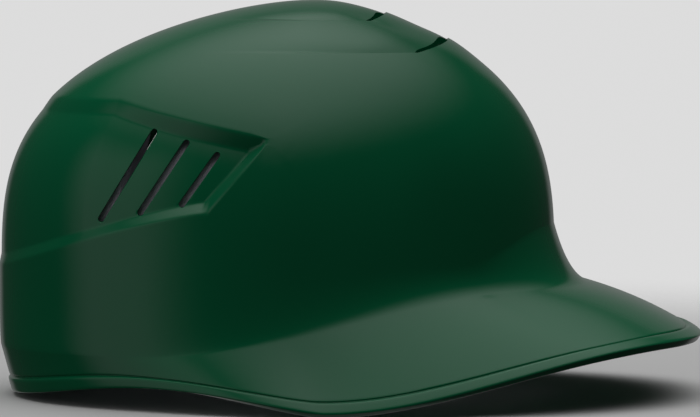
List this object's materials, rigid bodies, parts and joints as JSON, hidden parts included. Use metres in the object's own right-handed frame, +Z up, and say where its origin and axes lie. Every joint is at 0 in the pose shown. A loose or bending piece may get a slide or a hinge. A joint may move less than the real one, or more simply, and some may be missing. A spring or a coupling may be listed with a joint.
{
  "type": "catcher skull cap helmet",
  "caption": "Close-fitting hard skull cap with a short bill, vent slots in recessed side panels, hooded top vents, a beaded rim and a bonded foam lining.",
  "frame": {"origin": "on the ground under the middle of the cap's bounding box, the cap resting upright on its rim", "axes": "+X to the front, over the bill; +Y to the wearer's left; +Z up through the crown"},
  "size_m": [0.2928, 0.2422, 0.164],
  "materials": {
    "shell_plastic": "high-gloss moulded, dark green",
    "impact_foam": "closed-cell foam, pale grey",
    "comfort_fabric": "knitted wicking fabric over soft foam, black"
  },
  "bodies": {
    "root": {"shell": "shell_plastic", "foam_front": "impact_foam", "foam_front_left": "impact_foam", "foam_front_right": "impact_foam", "foam_side_left": "impact_foam", "foam_side_right": "impact_foam", "foam_rear_left": "impact_foam", "foam_rear_right": "impact_foam", "foam_rear": "impact_foam", "foam_crown": "impact_foam", "foam_crown_front": "impact_foam", "foam_crown_rear": "impact_foam", "foam_crown_left": "impact_foam", "foam_crown_right": "impact_foam", "comfort_front": "comfort_fabric", "comfort_left": "comfort_fabric", "comfort_right": "comfort_fabric", "comfort_rear": "comfort_fabric", "comfort_crown": "comfort_fabric"}
  },
  "joints": []
}
